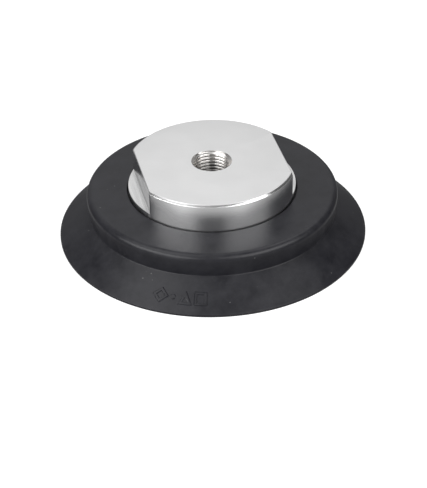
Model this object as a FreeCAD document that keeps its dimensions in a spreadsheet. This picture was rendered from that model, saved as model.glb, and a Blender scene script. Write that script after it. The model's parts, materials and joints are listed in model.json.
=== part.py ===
import FreeCAD, Part
import math
import os
import re
import Sketcher

# Round vacuum suction cup: an aluminium hub clamped on a rubber cup.
# Millimetres. The origin is the centre of the sealing plane, +Z points up to the port,
# and the two wrench flats of the hub face +X and -X.

# Driving dimensions: name, size in mm (or a number of pieces), what it is.
DIMENSIONS = [
    ("hub_radius", 33.85, "outside of the hub"),
    ("hub_top", 31.8, "height of the hub's top face above the sealing plane"),
    ("hub_seat", 17.0, "height of the hub's underside, which sits in the rubber"),
    ("hub_chamfer", 0.8, "chamfer round the hub's top face"),
    ("flat_half_width", 28.9, "centre to each wrench flat"),
    ("flat_depth", 9.9, "how far the flats are milled down from the top face"),
    ("spigot_radius", 19.0, "spigot that carries the clamp plate"),
    ("port_mouth_radius", 8.15, "port chamfer at the top face"),
    ("port_wall_radius", 7.188, "M16 x 1.5 port, minor radius of the thread"),
    ("port_depth", 11.4, "top face to the end of the port thread"),
    ("relief_radius", 8.4, "thread relief below the port"),
    ("relief_length", 1.4, "height of the thread relief"),
    ("filter_seat_radius", 6.6, "pocket that holds the filter screen"),
    ("filter_seat_depth", 1.4, "height of that pocket"),
    ("passage_radius", 4.5, "vacuum passage through spigot and plate"),
    ("screw_circle_radius", 14.0, "circle of the clamp screws"),
    ("screw_count", 6, "clamp screws"),
    ("screw_radius", 2.0, "M4 shank"),
    ("screw_length", 10.0, "under the head"),
    ("screw_head_radius", 3.5, "low head"),
    ("screw_head_height", 2.8, "low head"),
    ("screw_edge", 0.3, "chamfer on the head and on the screw's end"),
    ("hex_key_half_width", 1.25, "half across flats of the screw's socket"),
    ("hex_key_depth", 1.6, "depth of the screw's socket"),
    ("tap_depth", 9.4, "depth of the tapped holes in the hub"),
    ("washer_outer_radius", 3.8, "spring lock washer"),
    ("washer_inner_radius", 2.05, "spring lock washer"),
    ("washer_thickness", 0.9, "spring lock washer"),
    ("washer_half_gap", 0.35, "half the split of the lock washer"),
    ("plate_radius", 31.0, "clamp plate"),
    ("plate_top", 13.2, "height of the clamp plate's upper face"),
    ("plate_thickness", 5.6, "clamp plate"),
    ("plate_chamfer", 0.6, "edge of the clamp plate"),
    ("counterbore_radius", 4.1, "recess for a screw head in the plate"),
    ("counterbore_depth", 3.8, "recess for a screw head in the plate"),
    ("clearance_radius", 2.25, "screw hole through the plate"),
    ("channel_half_width", 1.5, "air channels across the plate's underside"),
    ("channel_depth", 1.6, "air channels across the plate's underside"),
    ("lip_radius", 62.5, "outside of the sealing lip"),
    ("lip_width", 1.0, "width of the lip's sealing edge"),
    ("lip_edge", 0.9, "height of the lip's outer edge"),
    ("crease_radius", 50.1, "where the skirt meets the side wall"),
    ("crease_height", 10.55, "where the skirt meets the side wall"),
    ("shoulder_radius", 51.1, "side wall below the shoulder"),
    ("shoulder_height", 19.85, "top of the disc at the shoulder"),
    ("shoulder_fillet", 2.5, "rounding of the shoulder"),
    ("cup_top", 20.1, "top of the rubber beside the hub"),
    ("recess_radius", 34.35, "recess in the rubber that takes the hub"),
    ("recess_fillet", 0.3, "rounding of that recess's rim"),
    ("flange_bore_radius", 19.3, "hole in the rubber for the spigot"),
    ("plate_recess_radius", 31.5, "recess under the rubber that takes the plate"),
    ("ring_slot_radius", 45.1, "slot in the rubber for the support ring"),
    ("ring_slot_floor", 11.2, "underside of that slot"),
    ("disc_underside", 9.0, "underside of the rubber disc"),
    ("skirt_root_radius", 46.0, "inside of the skirt where it leaves the disc"),
    ("skirt_root_fillet", 3.0, "rounding inside the skirt's root"),
    ("cleat_count", 18, "grip cleats under the rubber disc"),
    ("cleat_inner_radius", 34.0, "inner end of a cleat"),
    ("cleat_outer_radius", 46.5, "outer end of a cleat"),
    ("cleat_half_width", 1.3, "half the width of a cleat"),
    ("cleat_bottom", 6.7, "height of a cleat's underside"),
    ("cleat_overlap", 0.5, "how far a cleat runs into the disc"),
    ("ring_outer_radius", 44.8, "support ring"),
    ("ring_inner_radius", 31.9, "support ring"),
    ("ring_clearance", 0.1, "support ring to its slot, above and below"),
    ("screen_radius", 6.5, "filter screen"),
    ("screen_thickness", 0.5, "filter screen"),
    ("screen_hole_radius", 0.45, "holes of the filter screen"),
    ("screen_pitch", 1.6, "between the circles of holes of the filter screen"),
    ("filter_ring_inner_radius", 5.6, "ring that holds the screen"),
    ("filter_ring_thickness", 0.8, "ring that holds the screen"),
    ("cut_margin", 1.0, "how far an open cut runs past the solid"),
]
SIZE = {name: size for name, size, note in DIMENSIONS}

SCREEN_CIRCLES = 3
NEAR = 0.01

doc = FreeCAD.newDocument("suction_cup")
sheet = doc.addObject("Spreadsheet::Sheet", "dims")
for row, (name, size, note) in enumerate(DIMENSIONS, start=1):
    sheet.set("A%d" % row, note)
    sheet.set("B%d" % row, str(size))
    sheet.setAlias("B%d" % row, name)
doc.recompute()

parts = []


def bound(text):
    """A sum of sheet names, such as "hub_top - hub_chamfer", as an expression on the sheet."""
    return re.sub(r"[a-z][a-z_]*", lambda name: "dims." + name.group(), text)


def value(text):
    """The number that such a sum gives, for a sketch's first shape."""
    total = 0.0
    sign = 1
    for word in text.split():
        if word in ("+", "-"):
            sign = 1 if word == "+" else -1
        else:
            total += sign * (SIZE[word] if word in SIZE else float(word))
    return total


def new_body(label):
    body = doc.addObject("PartDesign::Body", label)
    body.Label = label
    parts.append(body)
    return body


def new_sketch(body, name, role, height="0"):
    """Empty sketch on one of the body's origin planes, lifted along the plane's normal."""
    sketch = body.newObject("Sketcher::SketchObject", body.Label + "_" + name)
    plane = [feature for feature in body.Origin.OriginFeatures if feature.Role == role][0]
    sketch.AttachmentSupport = (plane, [""])
    sketch.MapMode = "FlatFace"
    if height != "0":
        sketch.setExpression("AttachmentOffset.Base.z", bound(height))
    return sketch


def pin(sketch, element, end, across, up):
    """Holds one point of a sketch at two sums of sheet names."""
    for kind, text in (("DistanceX", across), ("DistanceY", up)):
        datum = Sketcher.Constraint(kind, -1, 1, element, end, value(text))
        index = sketch.addConstraint(datum)
        sketch.setExpression("Constraints[%d]" % index, bound(text))


def outline(body, name, role, corners, height="0"):
    """Closed sketch of straight lines through corners given as pairs of sums of sheet names."""
    sketch = new_sketch(body, name, role, height)
    count = len(corners)
    points = [FreeCAD.Vector(value(across), value(up), 0) for across, up in corners]
    for number in range(count):
        line = Part.LineSegment(points[number], points[(number + 1) % count])
        sketch.addGeometry(line, False)
    for number in range(count):
        joined = Sketcher.Constraint("Coincident", number, 2, (number + 1) % count, 1)
        sketch.addConstraint(joined)
    for number, (across, up) in enumerate(corners):
        pin(sketch, number, 1, across, up)
    return sketch


def circles(body, name, centres, radius, height="0"):
    """Sketch of equal circles on the body's XY plane."""
    sketch = new_sketch(body, name, "XY_Plane", height)
    for number, (across, up) in enumerate(centres):
        middle = FreeCAD.Vector(value(across), value(up), 0)
        sketch.addGeometry(Part.Circle(middle, FreeCAD.Vector(0, 0, 1), value(radius)), False)
        pin(sketch, number, 3, across, up)
        index = sketch.addConstraint(Sketcher.Constraint("Radius", number, value(radius)))
        sketch.setExpression("Constraints[%d]" % index, bound(radius))
    return sketch


def revolve(body, name, corners):
    """Solid of revolution about Z of an outline in the XZ plane."""
    sketch = outline(body, name + "_profile", "XZ_Plane", corners)
    feature = body.newObject("PartDesign::Revolution", body.Label + "_" + name)
    feature.Profile = sketch
    feature.ReferenceAxis = (sketch, ["V_Axis"])
    feature.Angle = 360
    doc.recompute()
    return feature


def extrude(body, kind, name, sketch, length, upwards):
    """Pad or Pocket of a sketch; a pad's own direction is up and a pocket's is down."""
    before = body.Shape.Volume
    feature = body.newObject("PartDesign::" + kind, body.Label + "_" + name)
    feature.Profile = sketch
    feature.setExpression("Length", bound(length))
    feature.Reversed = upwards == (kind == "Pocket")
    doc.recompute()
    grown = body.Shape.Volume > before
    if grown != (kind == "Pad"):
        raise RuntimeError("%s works in the wrong direction" % feature.Name)
    return feature


def around(body, name, feature, sketch, count):
    """The feature repeated evenly about Z."""
    pattern = body.newObject("PartDesign::PolarPattern", body.Label + "_" + name)
    pattern.Originals = [feature]
    pattern.Axis = (sketch, ["N_Axis"])
    pattern.Angle = 360
    pattern.setExpression("Occurrences", bound(count))
    body.Tip = pattern
    doc.recompute()
    return pattern


def round_edges(feature, radius, height):
    """Names of the feature's circular edges about Z with this radius and height."""
    names = []
    for number, edge in enumerate(feature.Shape.Edges, start=1):
        curve = edge.Curve
        if curve.TypeId != "Part::GeomCircle":
            continue
        on_axis = math.hypot(curve.Center.x, curve.Center.y) < NEAR
        same_size = abs(curve.Radius - value(radius)) < NEAR
        if on_axis and same_size and abs(curve.Center.z - value(height)) < NEAR:
            names.append("Edge%d" % number)
    return names


def fillet(body, name, feature, radius, height, size):
    """Rounds one circular edge of the feature."""
    rounded = body.newObject("PartDesign::Fillet", body.Label + "_" + name)
    rounded.Base = (feature, round_edges(feature, radius, height))
    rounded.setExpression("Radius", bound(size))
    doc.recompute()
    return rounded


def drill(body, name, sketch, depth, upwards, settings):
    """Hole feature with the given settings, checked for having cut something."""
    before = body.Shape.Volume
    hole = body.newObject("PartDesign::Hole", body.Label + "_" + name)
    hole.Profile = sketch
    doc.recompute()
    hole.Reversed = upwards
    hole.DepthType = "Dimension"
    hole.setExpression("Depth", bound(depth))
    for key, setting in settings:
        setattr(hole, key, setting)
    doc.recompute()
    if body.Shape.Volume >= before:
        raise RuntimeError("%s cuts nothing" % hole.Name)
    return hole


def make_hub():
    """Turned disc with a spigot below, a threaded port, two milled flats and blind tapped holes."""
    body = new_body("hub")
    relief_floor = "hub_top - port_depth - relief_length"
    filter_floor = relief_floor + " - filter_seat_depth"
    chamfer_floor = "hub_top - port_mouth_radius + port_wall_radius"
    revolve(body, "turned", [
        ("passage_radius", "plate_top"),
        ("spigot_radius", "plate_top"),
        ("spigot_radius", "hub_seat"),
        ("hub_radius", "hub_seat"),
        ("hub_radius", "hub_top - hub_chamfer"),
        ("hub_radius - hub_chamfer", "hub_top"),
        ("port_mouth_radius", "hub_top"),
        ("port_wall_radius", chamfer_floor),
        ("port_wall_radius", "hub_top - port_depth"),
        ("relief_radius", "hub_top - port_depth"),
        ("relief_radius", relief_floor),
        ("filter_seat_radius", relief_floor),
        ("filter_seat_radius", filter_floor),
        ("passage_radius", filter_floor),
    ])
    side = outline(body, "flat_outline", "XY_Plane", [
        ("flat_half_width", "0 - hub_radius"),
        ("hub_radius + cut_margin", "0 - hub_radius"),
        ("hub_radius + cut_margin", "hub_radius"),
        ("flat_half_width", "hub_radius"),
    ], height="hub_top")
    flat = extrude(body, "Pocket", "flat", side, "flat_depth", upwards=False)
    around_two = body.newObject("PartDesign::Mirrored", "hub_second_flat")
    around_two.Originals = [flat]
    around_two.MirrorPlane = (side, ["V_Axis"])
    body.Tip = around_two
    doc.recompute()
    first_hole = circles(body, "tap_place", [("screw_circle_radius", "0")], "screw_radius", "plate_top")
    tapped = drill(body, "tapped_hole", first_hole, "tap_depth", True, [
        ("ThreadType", "ISOMetricProfile"),
        ("ThreadSize", "M4x0.7"),
        ("Threaded", True),
        ("DrillPoint", "Angled"),
    ])
    around(body, "tapped_holes", tapped, first_hole, "screw_count")


def make_rubber_cup():
    """Moulded cup: disc with a rounded shoulder, conical skirt, inner flange and cleats below."""
    body = new_body("rubber_cup")
    moulded = revolve(body, "moulded", [
        ("flange_bore_radius", "plate_top"),
        ("ring_slot_radius", "plate_top"),
        ("ring_slot_radius", "ring_slot_floor"),
        ("plate_recess_radius", "ring_slot_floor"),
        ("plate_recess_radius", "disc_underside"),
        ("skirt_root_radius", "disc_underside"),
        ("lip_radius - lip_width", "0"),
        ("lip_radius", "0"),
        ("lip_radius", "lip_edge"),
        ("crease_radius", "crease_height"),
        ("shoulder_radius", "shoulder_height - shoulder_fillet"),
        ("shoulder_radius", "shoulder_height"),
        ("recess_radius", "cup_top"),
        ("recess_radius", "hub_seat"),
        ("flange_bore_radius", "hub_seat"),
    ])
    shoulder = fillet(body, "shoulder", moulded, "shoulder_radius", "shoulder_height", "shoulder_fillet")
    rim = fillet(body, "rim", shoulder, "recess_radius", "cup_top", "recess_fillet")
    fillet(body, "root", rim, "skirt_root_radius", "disc_underside", "skirt_root_fillet")
    bar = outline(body, "cleat_outline", "XY_Plane", [
        ("cleat_inner_radius", "0 - cleat_half_width"),
        ("cleat_outer_radius", "0 - cleat_half_width"),
        ("cleat_outer_radius", "cleat_half_width"),
        ("cleat_inner_radius", "cleat_half_width"),
    ], height="cleat_bottom")
    cleat = extrude(body, "Pad", "cleat", bar, "disc_underside - cleat_bottom + cleat_overlap", upwards=True)
    around(body, "cleats", cleat, bar, "cleat_count")


def make_clamp_plate():
    """Disc under the rubber flange with counterbored screw holes and air channels."""
    body = new_body("clamp_plate")
    underside = "plate_top - plate_thickness"
    revolve(body, "turned", [
        ("passage_radius", underside),
        ("plate_radius - plate_chamfer", underside),
        ("plate_radius", underside + " + plate_chamfer"),
        ("plate_radius", "plate_top - plate_chamfer"),
        ("plate_radius - plate_chamfer", "plate_top"),
        ("passage_radius", "plate_top"),
    ])
    place = [("screw_circle_radius", "0")]
    head_place = circles(body, "counterbore_place", place, "counterbore_radius", underside)
    head_room = extrude(body, "Pocket", "counterbore", head_place, "counterbore_depth", upwards=True)
    around(body, "counterbores", head_room, head_place, "screw_count")
    hole_place = circles(body, "hole_place", place, "clearance_radius", underside)
    hole = extrude(body, "Pocket", "screw_hole", hole_place, "plate_thickness", upwards=True)
    around(body, "screw_holes", hole, hole_place, "screw_count")
    bar = outline(body, "channel_outline", "XY_Plane", [
        ("0 - channel_half_width", "0"),
        ("channel_half_width", "0"),
        ("channel_half_width", "plate_radius + cut_margin"),
        ("0 - channel_half_width", "plate_radius + cut_margin"),
    ], height=underside)
    channel = extrude(body, "Pocket", "channel", bar, "channel_depth", upwards=True)
    around(body, "channels", channel, bar, "screw_count")


def place_on_screw_circle(body, number):
    """Turns the body about Z to its own screw's place."""
    turn = "%d * 360 / dims.screw_count" % number
    body.setExpression("Placement.Base.x", "dims.screw_circle_radius * cos(%s)" % turn)
    body.setExpression("Placement.Base.y", "dims.screw_circle_radius * sin(%s)" % turn)
    body.setExpression("Placement.Rotation.Angle", turn)


def make_clamp_screw(number):
    """Low-head socket screw, head down, from the plate's counterbore into the hub."""
    body = new_body("clamp_screw_%d" % (number + 1))
    seat = "plate_top - plate_thickness + counterbore_depth - washer_thickness"
    underside = seat + " - screw_head_height"
    revolve(body, "turned", [
        ("0", underside),
        ("screw_head_radius - screw_edge", underside),
        ("screw_head_radius", underside + " + screw_edge"),
        ("screw_head_radius", seat),
        ("screw_radius", seat),
        ("screw_radius", seat + " + screw_length - screw_edge"),
        ("screw_radius - screw_edge", seat + " + screw_length"),
        ("0", seat + " + screw_length"),
    ])
    socket = new_sketch(body, "socket_outline", "XY_Plane", underside)
    corner = SIZE["hex_key_half_width"] / math.cos(math.radians(30))
    points = [FreeCAD.Vector(corner, 0, 0)]
    for step in range(1, 6):
        turn = math.radians(60 * step)
        points.append(FreeCAD.Vector(corner * math.cos(turn), corner * math.sin(turn), 0))
    for step in range(6):
        socket.addGeometry(Part.LineSegment(points[step], points[(step + 1) % 6]), False)
    circle = Part.Circle(FreeCAD.Vector(0, 0, 0), FreeCAD.Vector(0, 0, 1), corner)
    guide = socket.addGeometry(circle, True)
    socket.addConstraint(Sketcher.Constraint("Coincident", guide, 3, -1, 1))
    for step in range(6):
        socket.addConstraint(Sketcher.Constraint("Coincident", step, 2, (step + 1) % 6, 1))
        socket.addConstraint(Sketcher.Constraint("PointOnObject", step, 1, guide))
    for step in range(1, 6):
        socket.addConstraint(Sketcher.Constraint("Equal", 0, step))
    socket.addConstraint(Sketcher.Constraint("PointOnObject", 0, 1, -1))
    index = socket.addConstraint(Sketcher.Constraint("Radius", guide, corner))
    socket.setExpression("Constraints[%d]" % index, "dims.hex_key_half_width / cos(30)")
    extrude(body, "Pocket", "socket", socket, "hex_key_depth", upwards=True)
    place_on_screw_circle(body, number)


def make_lock_washer(number):
    """Split spring washer between a screw head and the plate."""
    body = new_body("lock_washer_%d" % (number + 1))
    top = "plate_top - plate_thickness + counterbore_depth"
    revolve(body, "ring", [
        ("washer_inner_radius", top + " - washer_thickness"),
        ("washer_outer_radius", top + " - washer_thickness"),
        ("washer_outer_radius", top),
        ("washer_inner_radius", top),
    ])
    gap = outline(body, "split_outline", "XY_Plane", [
        ("0", "0 - washer_half_gap"),
        ("washer_outer_radius + cut_margin", "0 - washer_half_gap"),
        ("washer_outer_radius + cut_margin", "washer_half_gap"),
        ("0", "washer_half_gap"),
    ], height=top)
    extrude(body, "Pocket", "split", gap, "washer_thickness", upwards=False)
    place_on_screw_circle(body, number)


def make_support_ring():
    """Flat steel ring in the slot of the rubber disc."""
    body = new_body("support_ring")
    revolve(body, "ring", [
        ("ring_inner_radius", "ring_slot_floor + ring_clearance"),
        ("ring_outer_radius", "ring_slot_floor + ring_clearance"),
        ("ring_outer_radius", "plate_top - ring_clearance"),
        ("ring_inner_radius", "plate_top - ring_clearance"),
    ])


def make_filter_screen():
    """Perforated disc on the shoulder below the port: a centre hole and circles of holes."""
    body = new_body("filter_screen")
    floor = "hub_top - port_depth - relief_length - filter_seat_depth"
    disc_place = circles(body, "disc_outline", [("0", "0")], "screen_radius", floor)
    disc = body.newObject("PartDesign::Pad", "filter_screen_disc")
    disc.Profile = disc_place
    disc.setExpression("Length", bound("screen_thickness"))
    doc.recompute()
    middle = circles(body, "middle_place", [("0", "0")], "screen_hole_radius", floor)
    extrude(body, "Pocket", "middle", middle, "screen_thickness", upwards=True)
    for circle in range(1, SCREEN_CIRCLES):
        across = " + ".join(["screen_pitch"] * circle)
        name = "circle_%d" % circle
        place = circles(body, name + "_place", [(across, "0")], "screen_hole_radius", floor)
        hole = extrude(body, "Pocket", name + "_hole", place, "screen_thickness", upwards=True)
        around(body, name, hole, place, str(6 * circle))


def make_filter_ring():
    """Ring that holds the filter screen on its shoulder."""
    body = new_body("filter_ring")
    floor = "hub_top - port_depth - relief_length - filter_seat_depth + screen_thickness"
    revolve(body, "ring", [
        ("filter_ring_inner_radius", floor),
        ("screen_radius", floor),
        ("screen_radius", floor + " + filter_ring_thickness"),
        ("filter_ring_inner_radius", floor + " + filter_ring_thickness"),
    ])


make_hub()
make_rubber_cup()
make_clamp_plate()
for screw in range(int(SIZE["screw_count"])):
    make_clamp_screw(screw)
    make_lock_washer(screw)
make_support_ring()
make_filter_screen()
make_filter_ring()
doc.recompute()

for item in doc.Objects:
    if "Invalid" in item.State or "Error" in item.State:
        raise RuntimeError("%s did not compute: %s" % (item.Label, item.State))
for body in parts:
    if body.Shape.isNull() or not body.Shape.isValid() or len(body.Shape.Solids) != 1:
        raise RuntimeError("%s is not one valid solid" % body.Label)

os.makedirs("parts", exist_ok=True)
for body in parts:
    body.Shape.exportStep("parts/%s.step" % body.Label)
    box = body.Shape.BoundBox
    print("%-16s volume %9.1f mm3, z %6.2f to %6.2f" % (body.Label, body.Shape.Volume, box.ZMin, box.ZMax))
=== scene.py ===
import json
import math

import bmesh
import bpy
from mathutils import Matrix, Quaternion, Vector


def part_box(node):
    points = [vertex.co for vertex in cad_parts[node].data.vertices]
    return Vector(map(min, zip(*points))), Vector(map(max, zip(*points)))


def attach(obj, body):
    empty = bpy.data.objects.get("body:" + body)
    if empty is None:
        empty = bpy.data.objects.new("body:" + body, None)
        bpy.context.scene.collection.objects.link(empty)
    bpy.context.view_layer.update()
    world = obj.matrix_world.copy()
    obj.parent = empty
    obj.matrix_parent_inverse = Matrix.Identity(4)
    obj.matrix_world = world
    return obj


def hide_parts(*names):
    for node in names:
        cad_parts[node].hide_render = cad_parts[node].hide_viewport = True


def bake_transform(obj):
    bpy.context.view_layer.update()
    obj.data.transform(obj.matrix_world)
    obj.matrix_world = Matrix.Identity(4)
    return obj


# Looks of a round vacuum suction cup: a turned aluminium hub clamped on a black rubber cup.
# Outlines are in millimetres as (radius, height) and are turned about Z; SCALE makes them metres.

SCALE = 0.001

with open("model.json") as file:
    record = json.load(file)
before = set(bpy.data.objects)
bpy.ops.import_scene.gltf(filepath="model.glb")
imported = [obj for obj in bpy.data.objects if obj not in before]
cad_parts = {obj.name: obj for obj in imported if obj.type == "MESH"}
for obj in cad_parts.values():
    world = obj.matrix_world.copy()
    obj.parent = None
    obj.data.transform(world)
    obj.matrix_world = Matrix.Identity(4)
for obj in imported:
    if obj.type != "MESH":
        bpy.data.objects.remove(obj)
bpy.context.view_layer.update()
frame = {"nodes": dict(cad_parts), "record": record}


# ---------------------------------------------------------------- sizes that the frame gives

def span(node):
    """Outer radius, lowest and highest height of a CAD node that stands on the axis, in mm."""
    low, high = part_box(node)
    return high.y / SCALE, low.z / SCALE, high.z / SCALE


MOUNTS = {mount["name"]: mount for mount in frame["record"]["mounts"]}
HUB_RADIUS, SPIGOT_BOTTOM, HUB_TOP = span("hub")
CUP_RADIUS, LIP_HEIGHT, CUP_TOP = span("rubber_cup")
PLATE_TOP = span("clamp_plate")[2]
SCREEN_BOTTOM = span("filter_screen")[1]
FLAT_HALF_WIDTH = MOUNTS["wrench_flat_right"]["pos_m"][0] / SCALE
LEDGE_HEIGHT = 2 * MOUNTS["wrench_flat_right"]["pos_m"][2] / SCALE - HUB_TOP
PORT_MINOR_RADIUS = MOUNTS["port_thread"]["dims"]["r_mm"]

# Details the frame doesn't give, in mm.
HUB_SEAT = 17.0
SPIGOT_RADIUS = 19.0
PASSAGE_RADIUS = 4.5
PORT_MOUTH_RADIUS = 8.15
PORT_MAJOR_RADIUS = 8.0
PORT_PITCH = 1.5
PORT_DEPTH = 11.4
RELIEF_RADIUS = 8.4
RELIEF_LENGTH = 1.4
FILTER_SEAT_RADIUS = 6.6

TURN = 2 * math.pi


# ---------------------------------------------------------------- mesh tools

SHARP_ANGLE = math.radians(32)


def shade(data):
    """Smooth shading, but sharp where faces meet at an angle."""
    data.shade_smooth()
    data.set_sharp_from_angle(angle=SHARP_ANGLE)


def finish_mesh(name, mesh):
    """Turns a bmesh in mm into a shaded object in metres."""
    bmesh.ops.remove_doubles(mesh, verts=mesh.verts, dist=1e-5)
    bmesh.ops.dissolve_degenerate(mesh, edges=mesh.edges, dist=1e-5)
    bmesh.ops.recalc_face_normals(mesh, faces=mesh.faces)
    bmesh.ops.scale(mesh, vec=(SCALE, SCALE, SCALE), verts=mesh.verts)
    data = bpy.data.meshes.new(name)
    mesh.to_mesh(data)
    mesh.free()
    shade(data)
    piece = bpy.data.objects.new(name, data)
    bpy.context.scene.collection.objects.link(piece)
    return piece


def corner_arc(before, corner, after, radius, steps):
    """Points of the arc that rounds one corner of an outline."""
    back = (before - corner).normalized()
    ahead = (after - corner).normalized()
    half = back.angle(ahead) / 2
    centre = corner + (back + ahead).normalized() * (radius / math.sin(half))
    first = corner + back * (radius / math.tan(half)) - centre
    last = corner + ahead * (radius / math.tan(half)) - centre
    sweep = first.angle_signed(last)
    return [centre + Matrix.Rotation(-sweep * step / steps, 2) @ first for step in range(steps + 1)]


def rounded(corners, steps=8, guard=0.12):
    """Closed outline through (radius, height, rounding) corners.

    Beside each rounding a guard point keeps the straight run's shading straight."""
    points = []
    count = len(corners)
    for number, (across, up, radius) in enumerate(corners):
        corner = Vector((across, up))
        before = Vector(corners[number - 1][:2])
        after = Vector(corners[(number + 1) % count][:2])
        if radius == 0:
            points.append(corner)
            continue
        arc = corner_arc(before, corner, after, radius, steps)
        points.append(arc[0] + (before - corner).normalized() * guard)
        points.extend(arc)
        points.append(arc[-1] + (after - corner).normalized() * guard)
    return points


def new_vertex(mesh, across, angle, up):
    """A vertex at this distance from the axis, angle and height."""
    return mesh.verts.new((across * math.cos(angle), across * math.sin(angle), up))


def lathe(outline, angles):
    """Closed bmesh: a closed outline turned about Z through these angles."""
    mesh = bmesh.new()
    rings = []
    for across, up in outline:
        rings.append([new_vertex(mesh, across, angle, up) for angle in angles])
    for number, ring in enumerate(rings):
        bridge(mesh, ring, rings[(number + 1) % len(rings)])
    return mesh


def bridge(mesh, ring, following):
    """Quads between two rings of the same number of points."""
    for step in range(len(ring)):
        after = (step + 1) % len(ring)
        mesh.faces.new((ring[step], ring[after], following[after], following[step]))


# ---------------------------------------------------------------- hub

FLAT_STEPS = 48
ROUND_STEPS = 96
NOMINAL_CORNER = math.acos(FLAT_HALF_WIDTH / HUB_RADIUS)


def ring_angles(corner):
    """Angles of a ring's points: a flat, a round side, a flat, a round side."""
    angles = []
    for side in (0, math.pi):
        for step in range(FLAT_STEPS):
            angles.append(side - corner + 2 * corner * step / FLAT_STEPS)
        for step in range(ROUND_STEPS):
            angles.append(side + corner + (math.pi - 2 * corner) * step / ROUND_STEPS)
    return angles


def on_flat(index):
    """True for a ring's points that lie on a flat, without its two corners."""
    return 0 < index % (FLAT_STEPS + ROUND_STEPS) < FLAT_STEPS


def hub_ring(mesh, radius, height, half_width=None, flat_height=None, ledge_radius=None):
    """One ring of the hub: round, or with its two flats half_width from the axis."""
    corner = math.acos(half_width / radius) if half_width else NOMINAL_CORNER
    ring = []
    for index, angle in enumerate(ring_angles(corner)):
        across = radius
        up = height
        if on_flat(index):
            up = height if flat_height is None else flat_height
            if half_width:
                across = half_width / abs(math.cos(angle))
            elif ledge_radius:
                across = ledge_radius
        ring.append(new_vertex(mesh, across, angle, up))
    return ring


# Rows of points in one pitch of the thread, and the pitches by which it starts below the port.
THREAD_ROWS = 20
THREAD_START = 1.5


def thread_radius(phase):
    """Radius of the thread, with rounded crests and roots; phase runs from 0 to 1 over one pitch."""
    depth = PORT_MINOR_RADIUS - PORT_MAJOR_RADIUS
    return PORT_MAJOR_RADIUS + depth * (1 + math.cos(TURN * phase)) / 2


def thread_rings(mesh, angles, bottom):
    """Helical wall of the threaded port as rows that climb one pitch in each turn.

    The rows are cut off at the mouth's chamfer and at the foot, where they run together."""
    rows = []
    turns = math.ceil((HUB_TOP - bottom) / PORT_PITCH) + 2
    for row in range(turns * THREAD_ROWS):
        ring = []
        for angle in angles:
            rise = PORT_PITCH * (angle % TURN) / TURN
            up = bottom - THREAD_START * PORT_PITCH + PORT_PITCH * row / THREAD_ROWS + rise
            across = thread_radius((row / THREAD_ROWS) % 1)
            across = max(across, PORT_MOUTH_RADIUS - (HUB_TOP - up))
            if up >= HUB_TOP:
                up = HUB_TOP
                across = PORT_MOUTH_RADIUS
            if up <= bottom:
                up = bottom
                across = RELIEF_RADIUS
            ring.append(new_vertex(mesh, across, angle, up))
        rows.append(ring)
    seam = min(range(len(angles)), key=lambda index: angles[index] % TURN)
    for row in range(len(rows) - 1):
        for step in range(len(angles)):
            after = (step + 1) % len(angles)
            shift = THREAD_ROWS if after == seam else 0
            if row + 1 + shift >= len(rows):
                continue
            lower = (rows[row][step], rows[row + shift][after])
            upper = (rows[row + 1 + shift][after], rows[row + 1][step])
            mesh.faces.new(lower + upper)
    return rows[0], rows[-1]


FOOT_CHAMFER = 0.4
LEDGE_FILLET = 0.1
LEDGE_STEPS = 4
LEDGE_RIM = 0.1
EDGE_CHAMFER = 0.8
FLAT_CHAMFER = 0.22
EDGE_ROUNDING = 0.3
EDGE_STEPS = 5

# The hub's finishes, by the order of its material slots.
TURNED, MILLED, FACED, THREADED, EDGE = range(5)


def top_edge():
    """Outline of the hub's top chamfer, from the side to the top, with softly rounded edges."""
    lower = Vector((HUB_RADIUS, HUB_TOP - EDGE_CHAMFER))
    upper = Vector((HUB_RADIUS - EDGE_CHAMFER, HUB_TOP))
    below = Vector((HUB_RADIUS, HUB_SEAT))
    inwards = Vector((0, HUB_TOP))
    side = corner_arc(below, lower, upper, EDGE_ROUNDING, EDGE_STEPS)
    return side + corner_arc(lower, upper, inwards, EDGE_ROUNDING, EDGE_STEPS)


def hub_finish(face):
    """Which of the hub's finishes a face has; the margins keep clear of its neighbours' middles."""
    centre = face.center / SCALE
    across = centre.xy.length
    on_ledge = FLAT_HALF_WIDTH - 0.1 < across < HUB_RADIUS - 0.2
    if on_ledge and LEDGE_HEIGHT - 0.1 < centre.z < HUB_TOP - FLAT_CHAMFER:
        return MILLED
    if across > PORT_MOUTH_RADIUS and face.normal.z > 0.3 and centre.z > HUB_TOP - EDGE_CHAMFER:
        return EDGE if face.normal.z < 0.95 else FACED
    if across < RELIEF_RADIUS + 0.1 and centre.z < HUB_TOP - 0.01:
        return THREADED
    return TURNED


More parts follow.
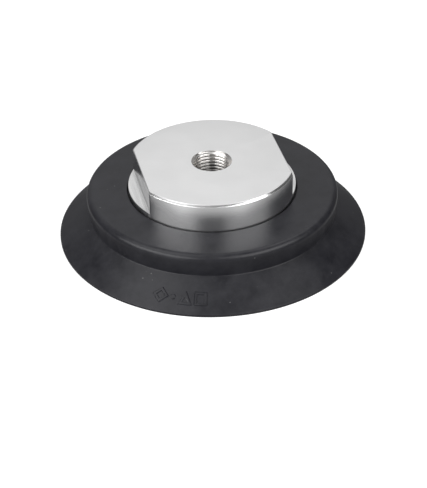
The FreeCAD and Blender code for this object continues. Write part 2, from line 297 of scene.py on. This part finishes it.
def make_hub():
    """Turned hub with milled flats, chamfers and a real helical thread in its port."""
    mesh = bmesh.new()
    port_bottom = HUB_TOP - PORT_DEPTH
    relief_bottom = port_bottom - RELIEF_LENGTH
    outer = [
        hub_ring(mesh, SPIGOT_RADIUS - FOOT_CHAMFER, SPIGOT_BOTTOM),
        hub_ring(mesh, SPIGOT_RADIUS, SPIGOT_BOTTOM + FOOT_CHAMFER),
        hub_ring(mesh, SPIGOT_RADIUS, HUB_SEAT),
        hub_ring(mesh, HUB_RADIUS - FOOT_CHAMFER, HUB_SEAT),
        hub_ring(mesh, HUB_RADIUS, HUB_SEAT + FOOT_CHAMFER),
        hub_ring(mesh, HUB_RADIUS, LEDGE_HEIGHT - LEDGE_RIM),
        hub_ring(mesh, HUB_RADIUS, LEDGE_HEIGHT, ledge_radius=HUB_RADIUS - LEDGE_RIM),
    ]
    for step in range(LEDGE_STEPS + 1):
        turn = math.pi / 2 * step / LEDGE_STEPS
        height = LEDGE_HEIGHT + LEDGE_FILLET * (1 - math.cos(turn))
        half_width = FLAT_HALF_WIDTH + LEDGE_FILLET * (1 - math.sin(turn))
        outer.append(hub_ring(mesh, HUB_RADIUS, height, half_width))
    for point in top_edge():
        inwards = (HUB_RADIUS - point.x) / EDGE_CHAMFER
        below = (HUB_TOP - point.y) / EDGE_CHAMFER
        half_width = FLAT_HALF_WIDTH - FLAT_CHAMFER * inwards
        flat_height = HUB_TOP - FLAT_CHAMFER * below
        outer.append(hub_ring(mesh, point.x, point.y, half_width, flat_height))
    for ring, following in zip(outer, outer[1:]):
        bridge(mesh, ring, following)
    angles = ring_angles(NOMINAL_CORNER)
    foot, mouth = thread_rings(mesh, angles, port_bottom)
    bridge(mesh, outer[-1], mouth)
    inner = [
        foot,
        hub_ring(mesh, RELIEF_RADIUS, relief_bottom),
        hub_ring(mesh, FILTER_SEAT_RADIUS, relief_bottom),
        hub_ring(mesh, FILTER_SEAT_RADIUS, SCREEN_BOTTOM),
        hub_ring(mesh, PASSAGE_RADIUS, SCREEN_BOTTOM),
        hub_ring(mesh, PASSAGE_RADIUS, SPIGOT_BOTTOM),
        outer[0],
    ]
    for ring, following in zip(inner, inner[1:]):
        bridge(mesh, ring, following)
    hub = finish_mesh("turned_hub", mesh)
    hub.data.materials.append(turned_aluminium("hub_turned", 0.26, 0.6, 0.3))
    hub.data.materials.append(milled_aluminium())
    hub.data.materials.append(turned_aluminium("hub_faced", 0.27, 0.0, 0.12))
    hub.data.materials.append(threaded_aluminium_painted_shade())
    hub.data.materials.append(turned_aluminium("hub_edge", 0.36, 0.6, 0.3))
    for face in hub.data.polygons:
        face.material_index = hub_finish(face)
    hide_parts("hub")
    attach(hub, "head")
    return hub


# ---------------------------------------------------------------- rubber cup

FLANGE_BORE_RADIUS = 19.3
RING_SLOT_RADIUS = 45.1
RING_SLOT_FLOOR = 11.2
PLATE_RECESS_RADIUS = 31.5
SKIRT_ROOT_RADIUS = 46.0
CREASE = (50.1, 10.55)
SHOULDER_RADIUS = 51.1
SHOULDER_HEIGHT = 19.85
SHOULDER_ROUNDING = 2.5
LIP_EDGE = 0.9
LIP_WIDTH = 1.0
RECESS_RADIUS = 34.35
DISC_UNDERSIDE = 9.0
CLEAT_COUNT = 18
CLEAT_INNER = 34.0
CLEAT_OUTER = 46.5
CLEAT_HALF_WIDTH = 1.3
CLEAT_BOTTOM = 6.7
CLEAT_OVERLAP = 0.5
CLEAT_ROUNDING = 0.5
COARSE_STEPS = 330

# Raised marks on the skirt: plain shapes in a row, as (kind, place along the row), in mm.
MARKS = (("diamond", -7.8), ("dot", -2.9), ("triangle", 2.0), ("square", 7.9))
MARK_SIZE = 2.7
MARK_STROKE = 0.5
MARK_DOT = 1.0
MARK_RELIEF = 0.28
MARK_EDGE = 0.2
MARK_TURN = math.radians(-90 - 12.42 - 13.0)
MARK_RADIUS = 57.4
MARK_HALF_LENGTH = 11.0
MARK_HALF_WIDTH = 3.3
MARK_STEP = 0.15


def box_distance(across, up, half_width, half_height):
    """Distance outside a rectangle, negative inside it."""
    right = abs(across) - half_width
    above = abs(up) - half_height
    outside = math.hypot(max(right, 0), max(above, 0))
    return outside + min(max(right, above), 0)


def triangle_distance(across, up, size):
    """Distance outside a triangle that stands on its base, negative inside it."""
    slope = math.hypot(2, 1)
    side = (2 * abs(across) + up - size) / slope
    return max(side, -size - up)


def mark_distance(kind, across, up):
    """Distance to one mark, negative inside it: a filled dot, or a shape drawn with a stroke."""
    if kind == "dot":
        return math.hypot(across, up) - MARK_DOT
    if kind == "diamond":
        edge = (abs(across) + abs(up) - 1.15 * MARK_SIZE) / math.sqrt(2)
    elif kind == "triangle":
        edge = triangle_distance(across, up, MARK_SIZE)
    else:
        edge = box_distance(across, up, MARK_SIZE * 0.9, MARK_SIZE)
    return abs(edge + MARK_STROKE) - MARK_STROKE


def mark_height(along, up):
    """How far the skirt is raised at a place of the row of marks."""
    nearest = min(mark_distance(kind, along - place, up) for kind, place in MARKS)
    share = min(1, max(0, 0.5 - nearest / MARK_EDGE))
    return MARK_RELIEF * share * share * (3 - 2 * share)


def cup_angles():
    """Angles round the cup: even steps, with fine ones across the row of marks."""
    half = MARK_HALF_LENGTH / MARK_RADIUS
    fine = round(2 * MARK_HALF_LENGTH / MARK_STEP)
    angles = [MARK_TURN - half + 2 * half * step / fine for step in range(fine)]
    rest = TURN - 2 * half
    angles += [MARK_TURN + half + rest * step / COARSE_STEPS for step in range(COARSE_STEPS)]
    return angles


def skirt_rows():
    """Points down the outside of the skirt, close together where the marks are."""
    low = Vector((CUP_RADIUS, LIP_HEIGHT + LIP_EDGE))
    slope = (Vector(CREASE) - low).normalized()
    middle = low + slope * ((MARK_RADIUS - CUP_RADIUS) / slope.x)
    count = round(2 * MARK_HALF_WIDTH / MARK_STEP)
    return [middle + slope * (MARK_HALF_WIDTH * (2 * row / count - 1)) for row in range(count + 1)]


def cup_outline():
    """The moulding's cross-section, with the skirt's fine rows let into its outer slope."""
    points = rounded([
        (FLANGE_BORE_RADIUS, HUB_SEAT, 0.4),
        (FLANGE_BORE_RADIUS, PLATE_TOP, 0.4),
        (RING_SLOT_RADIUS, PLATE_TOP, 0),
        (RING_SLOT_RADIUS, RING_SLOT_FLOOR, 0),
        (PLATE_RECESS_RADIUS, RING_SLOT_FLOOR, 0.3),
        (PLATE_RECESS_RADIUS, DISC_UNDERSIDE, 0.5),
        (SKIRT_ROOT_RADIUS, DISC_UNDERSIDE, 3.0),
        (CUP_RADIUS - LIP_WIDTH, LIP_HEIGHT, 0.1),
        (CUP_RADIUS, LIP_HEIGHT, 0.12),
        (CUP_RADIUS, LIP_HEIGHT + LIP_EDGE, 0.3),
        (*CREASE, 0.5),
        (SHOULDER_RADIUS, SHOULDER_HEIGHT, SHOULDER_ROUNDING),
        (RECESS_RADIUS, CUP_TOP, 0.3),
        (RECESS_RADIUS, HUB_SEAT, 0),
    ])
    rows = skirt_rows()
    start = 1 + max(number for number, point in enumerate(points) if point.x > rows[0].x)
    return points[:start] + rows + points[start:]


def raise_marks(mesh):
    """Lifts the skirt's fine grid into the raised marks."""
    low = Vector((CUP_RADIUS, LIP_HEIGHT + LIP_EDGE))
    slope = (Vector(CREASE) - low).normalized()
    outwards = Vector((slope.y, -slope.x))
    for vertex in mesh.verts:
        across = vertex.co.xy.length
        turn = math.atan2(vertex.co.y, vertex.co.x) - MARK_TURN
        turn = (turn + math.pi) % TURN - math.pi
        from_lip = Vector((across, vertex.co.z)) - low
        if abs(from_lip.dot(outwards)) > 0.01 or abs(turn) * MARK_RADIUS > MARK_HALF_LENGTH:
            continue
        height = mark_height(turn * MARK_RADIUS, (MARK_RADIUS - across) / -slope.x)
        stretch = 1 + height * outwards.x / across
        vertex.co.x *= stretch
        vertex.co.y *= stretch
        vertex.co.z += height * outwards.y


def add_cleat(mesh, turn):
    """One rounded rib whose top is sunk into the disc."""
    length = CLEAT_OUTER - CLEAT_INNER
    top = DISC_UNDERSIDE + CLEAT_OVERLAP
    made = bmesh.ops.create_cube(mesh, size=1)["verts"]
    size = Vector((length, 2 * CLEAT_HALF_WIDTH, top - CLEAT_BOTTOM))
    bmesh.ops.scale(mesh, vec=size, verts=made)
    bmesh.ops.translate(mesh, vec=(CLEAT_INNER + length / 2, 0, (top + CLEAT_BOTTOM) / 2), verts=made)
    edges = [edge for edge in mesh.edges if edge.verts[0] in made and edge.verts[1] in made]
    lower = [edge for edge in edges if min(vertex.co.z for vertex in edge.verts) < CLEAT_BOTTOM + 0.1]
    rounding = {"offset": CLEAT_ROUNDING, "segments": 4, "affect": "EDGES", "profile": 0.5}
    shaped = bmesh.ops.bevel(mesh, geom=lower, **rounding)
    corners = {vertex for face in shaped["faces"] for vertex in face.verts}
    corners |= {vertex for vertex in made if vertex.is_valid}
    bmesh.ops.rotate(mesh, cent=(0, 0, 0), matrix=Matrix.Rotation(turn, 3, "Z"), verts=list(corners))


def merge_solids(piece, other):
    """Makes one closed skin of two solids that overlap, and removes the second."""
    merge = piece.modifiers.new("merge", "BOOLEAN")
    merge.operation = "UNION"
    merge.solver = "EXACT"
    merge.object = other
    bpy.context.view_layer.update()
    graph = bpy.context.evaluated_depsgraph_get()
    data = bpy.data.meshes.new_from_object(piece.evaluated_get(graph))
    piece.modifiers.clear()
    piece.data = data
    bpy.data.objects.remove(other)
    shade(data)


def make_cup():
    """Rubber moulding: disc, shoulder, side wall, skirt, lip and the cleats underneath."""
    mesh = lathe(cup_outline(), cup_angles())
    raise_marks(mesh)
    cup = finish_mesh("moulded_cup", mesh)
    cleats = bmesh.new()
    for cleat in range(CLEAT_COUNT):
        add_cleat(cleats, TURN * cleat / CLEAT_COUNT)
    merge_solids(cup, finish_mesh("cleats", cleats))
    cup.data.materials.append(moulded_rubber())
    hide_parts("rubber_cup")
    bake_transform(cup)
    return cup


# ---------------------------------------------------------------- materials

class Nodes:
    """A node material around one Principled shader."""

    def __init__(self, name, **values):
        self.material = bpy.data.materials.new(name)
        self.material.use_nodes = True
        self.tree = self.material.node_tree
        self.shader = self.tree.nodes["Principled BSDF"]
        for socket, value in values.items():
            self.shader.inputs[socket.replace("_", " ")].default_value = value

    def add(self, kind, inputs=None, **settings):
        """A node of this kind; inputs are numbers, colours or sockets to link from."""
        node = self.tree.nodes.new("ShaderNode" + kind)
        for key, value in settings.items():
            setattr(node, key, value)
        for key, value in (inputs or {}).items():
            if isinstance(value, bpy.types.NodeSocket):
                self.tree.links.new(value, node.inputs[key])
            else:
                node.inputs[key].default_value = value
        return node

    def link(self, socket, name):
        self.tree.links.new(socket, self.shader.inputs[name])

    def place(self):
        """Position on the object, in metres."""
        return self.add("TexCoord").outputs["Object"]

    def stretched(self, place, scale):
        """The position scaled along each axis."""
        return self.add("VectorMath", {0: place, 1: scale}, operation="MULTIPLY").outputs[0]

    def turned(self, place, scale):
        """(distance from the axis, 0, height), scaled: constant along every turned groove."""
        flat = self.add("VectorMath", {0: place, 1: (1, 1, 0)}, operation="MULTIPLY").outputs[0]
        distance = self.add("VectorMath", {0: flat}, operation="LENGTH").outputs["Value"]
        height = self.add("SeparateXYZ", {0: place}).outputs["Z"]
        joined = self.add("CombineXYZ", {"X": distance, "Z": height}).outputs[0]
        return self.stretched(joined, scale)

    def noise(self, vector, scale, detail=2.0, roughness=0.5):
        values = {"Vector": vector, "Scale": scale, "Detail": detail, "Roughness": roughness}
        return self.add("TexNoise", values).outputs["Fac"]

    def span(self, value, low, high, to_low, to_high):
        """The value carried from low..high to to_low..to_high."""
        values = {"Value": value, "From Min": low, "From Max": high, "To Min": to_low, "To Max": to_high}
        return self.add("MapRange", values).outputs["Result"]

    def colour_between(self, share, first, second):
        node = self.add("Mix", data_type="RGBA")
        self.tree.links.new(share, node.inputs["Factor"])
        node.inputs["A"].default_value = (*first, 1)
        node.inputs["B"].default_value = (*second, 1)
        return node.outputs["Result"]

    def bump(self, height, distance):
        return self.add("Bump", {"Height": height, "Distance": distance}).outputs["Normal"]


def turned_aluminium(name, roughness, stretch, grooving=1.0):
    """Bright aluminium off the lathe: very fine grooves about the axis, slight staining.

    stretch is how far the grooves draw out its highlights across themselves."""
    nodes = Nodes(name, Metallic=1.0, Anisotropic=stretch, Anisotropic_Rotation=0.25)
    place = nodes.place()
    grooves = nodes.noise(nodes.turned(place, (1, 1, 1)), 7000, 2)
    stain = nodes.noise(place, 60, 3)
    clean = nodes.span(stain, 0.35, 0.65, 0, 1)
    nodes.link(nodes.colour_between(clean, (0.89, 0.89, 0.892), (0.93, 0.93, 0.932)), "Base Color")
    change = 0.015 * grooving
    nodes.link(nodes.span(grooves, 0.3, 0.7, roughness - change, roughness + change), "Roughness")
    nodes.link(nodes.add("Tangent", direction_type="RADIAL", axis="Z").outputs[0], "Tangent")
    nodes.link(nodes.bump(grooves, 0.00000004 * grooving), "Normal")
    return nodes.material


def threaded_aluminium_painted_shade():
    """The cut thread: duller metal, with painted shade that darkens its colour towards the port's foot.
    """
    nodes = Nodes("hub_thread_painted_shade", Metallic=1.0)
    place = nodes.place()
    height = nodes.add("SeparateXYZ", {0: place}).outputs["Z"]
    depth = nodes.span(height, (HUB_TOP - PORT_DEPTH) * SCALE, HUB_TOP * SCALE, 0, 1)
    stain = nodes.noise(place, 300, 3)
    share = nodes.add("Math", {0: depth, 1: nodes.span(stain, 0.3, 0.7, -0.1, 0.1)}).outputs[0]
    # Painted shade: the colour runs from dark at the port's foot to bright at its mouth, with a little
    # random tone from the noise.
    nodes.link(nodes.colour_between(share, (0.25, 0.24, 0.23), (0.90, 0.88, 0.86)), "Base Color")
    nodes.link(nodes.span(stain, 0.3, 0.7, 0.14, 0.20), "Roughness")
    return nodes.material


def milled_aluminium():
    """The same metal where a mill cut the flats: fine straight streaks along the cut."""
    nodes = Nodes("hub_milled", Metallic=1.0)
    place = nodes.place()
    streaks = nodes.noise(nodes.stretched(place, (1, 0.04, 1)), 4000, 3)
    bands = nodes.noise(nodes.stretched(place, (1, 0.06, 1)), 500, 2)
    bright = nodes.span(bands, 0.3, 0.7, 0, 1)
    nodes.link(nodes.colour_between(bright, (0.66, 0.66, 0.665), (0.86, 0.86, 0.86)), "Base Color")
    nodes.link(nodes.span(streaks, 0.3, 0.7, 0.13, 0.22), "Roughness")
    nodes.link(nodes.bump(streaks, 0.000001), "Normal")
    return nodes.material


RUBBER_ROUGHNESS = 0.36


def moulded_rubber():
    """Matt black nitrile rubber: moulded grain, faint bloom and a few specks of dust."""
    nodes = Nodes("cup_rubber", IOR=1.40)
    place = nodes.place()
    grain = nodes.noise(place, 5200, 4, 0.6)
    bloom = nodes.noise(place, 130, 6, 0.7)
    bloomed = nodes.span(bloom, 0.3, 0.7, 0, 1)
    colour = nodes.colour_between(bloomed, (0.006, 0.006, 0.009), (0.019, 0.019, 0.0232))
    speck = nodes.add("TexVoronoi", {"Vector": place, "Scale": 600})
    small = nodes.span(speck.outputs["Distance"], 0.1, 0.18, 1, 0)
    lot = nodes.add("SeparateColor", {0: speck.outputs["Color"]}).outputs[0]
    chosen = nodes.span(lot, 0.975, 0.98, 0, 1)
    dust = nodes.add("Math", {0: small, 1: chosen}, operation="MULTIPLY").outputs[0]
    dusty = nodes.add("Mix", data_type="RGBA")
    nodes.tree.links.new(dust, dusty.inputs["Factor"])
    nodes.tree.links.new(colour, dusty.inputs["A"])
    dusty.inputs["B"].default_value = (0.10, 0.10, 0.10, 1)
    nodes.link(dusty.outputs["Result"], "Base Color")
    nodes.link(nodes.span(bloom, 0.3, 0.7, RUBBER_ROUGHNESS - 0.05, RUBBER_ROUGHNESS + 0.05), "Roughness")
    nodes.link(nodes.bump(grain, 0.00001), "Normal")
    return nodes.material


def plain_steel(name, colour, roughness):
    nodes = Nodes(name, Metallic=1.0)
    place = nodes.place()
    cloud = nodes.noise(place, 400, 3)
    darker = tuple(0.85 * part for part in colour)
    nodes.link(nodes.colour_between(cloud, darker, colour), "Base Color")
    nodes.link(nodes.span(cloud, 0.3, 0.7, roughness - 0.06, roughness + 0.06), "Roughness")
    return nodes.material


# ---------------------------------------------------------------- CAD nodes that stay

def dress(node, material):
    """Gives a carried-over CAD node its material."""
    data = frame["nodes"][node].data
    data.materials.clear()
    data.materials.append(material)


def dress_cad_nodes():
    steel = plain_steel("zinc_steel", (0.60, 0.61, 0.64), 0.32)
    bright = plain_steel("stainless", (0.66, 0.66, 0.66), 0.28)
    plate = turned_aluminium("plate_turned", 0.34, 0.5)
    for node in frame["nodes"]:
        if node.startswith(("clamp_screw", "lock_washer")) or node == "support_ring":
            dress(node, steel)
        elif node.startswith("filter"):
            dress(node, bright)
        elif node == "clamp_plate":
            dress(node, plate)


# ---------------------------------------------------------------- stage, light and camera

CAMERA_DISTANCE = 0.68024
CAMERA_ELEVATION = math.radians(33.39)
CAMERA_TURN = math.radians(12.42)
CAMERA_ROLL = math.radians(-1.04)
CAMERA_AIM = Vector((0.00014, -0.00003, -0.00846))
CAMERA_LENS = 122.0


def direction(azimuth, elevation):
    """Unit vector seen from the object: azimuth 0 is towards the camera, positive to its right."""
    turn = azimuth - CAMERA_TURN
    level = math.cos(elevation)
    return Vector((level * math.sin(turn), -level * math.cos(turn), math.sin(elevation)))


FLOOR_SIZE = 3.0
DOME_RADIUS = 6.0


def light_table(name, glow, paper):
    """Pale surface that is lit from behind as well as from the room."""
    nodes = Nodes(name, Roughness=0.9, Emission_Strength=glow)
    nodes.shader.inputs["Emission Color"].default_value = (1, 1, 1, 1)
    cloud = nodes.noise(nodes.place(), 3, 2)
    darker = tuple(paper * 0.97 for part in range(3))
    nodes.link(nodes.colour_between(cloud, darker, (paper, paper, paper)), "Base Color")
    return nodes.material


def place_stage(piece, material):
    """A surface that is only a backdrop: the object neither mirrors it nor is lit by it."""
    piece.data.materials.append(material)
    piece.visible_glossy = False
    piece.visible_diffuse = False
    piece.visible_shadow = False


def make_stage():
    """Plain pale floor with a pale dome far behind it."""
    mesh = bmesh.new()
    bmesh.ops.create_grid(mesh, x_segments=8, y_segments=8, size=FLOOR_SIZE / SCALE)
    floor = finish_mesh("floor", mesh)
    floor.location.z = -0.00002
    place_stage(floor, light_table("floor_paper", 0.72, 0.45))
    mesh = bmesh.new()
    bmesh.ops.create_icosphere(mesh, subdivisions=4, radius=DOME_RADIUS / SCALE)
    place_stage(finish_mesh("backdrop", mesh), light_table("backdrop_paper", 0.95, 0.1))


def make_softbox(name, azimuth, elevation, distance, size, power):
    """Upright soft light that faces the object."""
    data = bpy.data.lights.new(name, "AREA")
    data.shape = "RECTANGLE"
    data.size, data.size_y = size
    data.energy = power
    light = bpy.data.objects.new(name, data)
    towards = direction(math.radians(azimuth), math.radians(elevation))
    light.location = towards * distance
    light.rotation_mode = "QUATERNION"
    light.rotation_quaternion = towards.to_track_quat("Z", "Y")
    light.visible_camera = False
    bpy.context.scene.collection.objects.link(light)


def glow(tree, place, azimuth, elevation, narrowness, strength):
    """Soft round glow of the room about one direction."""
    towards = direction(math.radians(azimuth), math.radians(elevation))
    along = tree.nodes.new("ShaderNodeVectorMath")
    along.operation = "DOT_PRODUCT"
    along.inputs[1].default_value = towards
    tree.links.new(place, along.inputs[0])
    fall = tree.nodes.new("ShaderNodeMath")
    fall.operation = "MULTIPLY_ADD"
    fall.inputs[1].default_value = narrowness
    fall.inputs[2].default_value = -narrowness
    tree.links.new(along.outputs["Value"], fall.inputs[0])
    rise = tree.nodes.new("ShaderNodeMath")
    rise.operation = "EXPONENT"
    tree.links.new(fall.outputs[0], rise.inputs[0])
    share = tree.nodes.new("ShaderNodeMath")
    share.operation = "MULTIPLY"
    share.inputs[1].default_value = strength
    tree.links.new(rise.outputs[0], share.inputs[0])
    return share.outputs[0]


# Soft glows of the room: azimuth, elevation, narrowness, strength.
GLOWS = (
    (0, 0, 1.0, 0.22),
    (0, 45, 5.0, 0.22),
    (-41, -7, 26.0, 0.9),
    (40, -7, 28.0, 0.7),
    (180, 37, 11.0, 0.66),
    (-146, 22, 10.0, 0.33),
    (150, 14, 10.0, 0.14),
    (-82, 67, 23.0, 3.5),
    (143, 63, 40.0, 3.1),
)
ROOM_LEVEL = 0.04
TABLE_LEVEL = 0.42
TABLE_EDGE = (math.sin(math.radians(-21)), math.sin(math.radians(-15)))


def make_world():
    """Dim room with a pale table and a few soft glows: in front, behind and overhead."""
    world = bpy.data.worlds.new("room")
    world.use_nodes = True
    tree = world.node_tree
    place = tree.nodes.new("ShaderNodeTexCoord").outputs["Generated"]
    split = tree.nodes.new("ShaderNodeSeparateXYZ")
    tree.links.new(place, split.inputs[0])
    level = tree.nodes.new("ShaderNodeMapRange")
    level.inputs["From Min"].default_value = TABLE_EDGE[0]
    level.inputs["From Max"].default_value = TABLE_EDGE[1]
    level.inputs["To Min"].default_value = TABLE_LEVEL
    level.inputs["To Max"].default_value = ROOM_LEVEL
    tree.links.new(split.outputs["Z"], level.inputs["Value"])
    total = level.outputs["Result"]
    for settings in GLOWS:
        add = tree.nodes.new("ShaderNodeMath")
        tree.links.new(total, add.inputs[0])
        tree.links.new(glow(tree, place, *settings), add.inputs[1])
        total = add.outputs[0]
    background = tree.nodes["Background"]
    background.inputs["Color"].default_value = (1, 1, 1, 1)
    tree.links.new(total, background.inputs["Strength"])
    bpy.context.scene.world = world


def make_camera():
    data = bpy.data.cameras.new("camera")
    data.lens = CAMERA_LENS
    data.clip_start = 0.01
    data.clip_end = 20
    camera = bpy.data.objects.new("camera", data)
    camera.location = direction(0, CAMERA_ELEVATION) * CAMERA_DISTANCE
    looking = (CAMERA_AIM - camera.location).to_track_quat("-Z", "Y")
    camera.rotation_mode = "QUATERNION"
    camera.rotation_quaternion = looking @ Quaternion((0, 0, 1), CAMERA_ROLL)
    bpy.context.scene.collection.objects.link(camera)
    bpy.context.scene.camera = camera


make_hub()
make_cup()
dress_cad_nodes()
make_stage()
make_world()
make_softbox("left_softbox", -51, 27, 1.0, (1.05, 0.42), 7.6)
make_softbox("right_softbox", 48, 34, 1.0, (1.0, 0.6), 6.6)
make_camera()
bpy.context.scene.view_settings.view_transform = "Standard"
